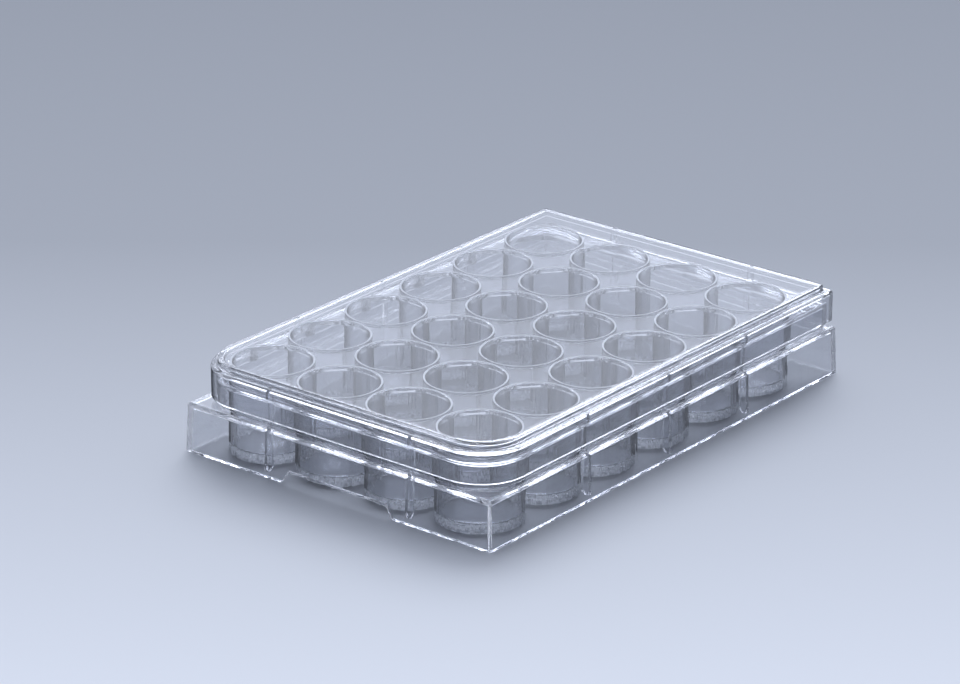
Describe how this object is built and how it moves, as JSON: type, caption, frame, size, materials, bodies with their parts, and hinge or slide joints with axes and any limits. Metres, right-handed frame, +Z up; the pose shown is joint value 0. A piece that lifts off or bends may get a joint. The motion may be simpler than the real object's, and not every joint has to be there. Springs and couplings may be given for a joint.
{
  "type": "well plate with lid",
  "caption": "Clear rectangular laboratory well plate with flat-bottomed round wells in a grid, a drafted skirt with a ledge, and a loose see-through lid with two rounded corners.",
  "frame": {"origin": "centre of the skirt's foot rectangle, on the surface the plate stands on", "axes": "+Z up out of the wells; +X along the long side, towards the square-cornered end; +Y along the short side"},
  "size_m": [0.1278, 0.0854, 0.022],
  "materials": {
    "plate_clear": "clear polished polystyrene",
    "lid_clear": "clear polished polystyrene"
  },
  "bodies": {
    "root": {"plate": "plate_clear", "lid": "lid_clear"}
  },
  "joints": []
}
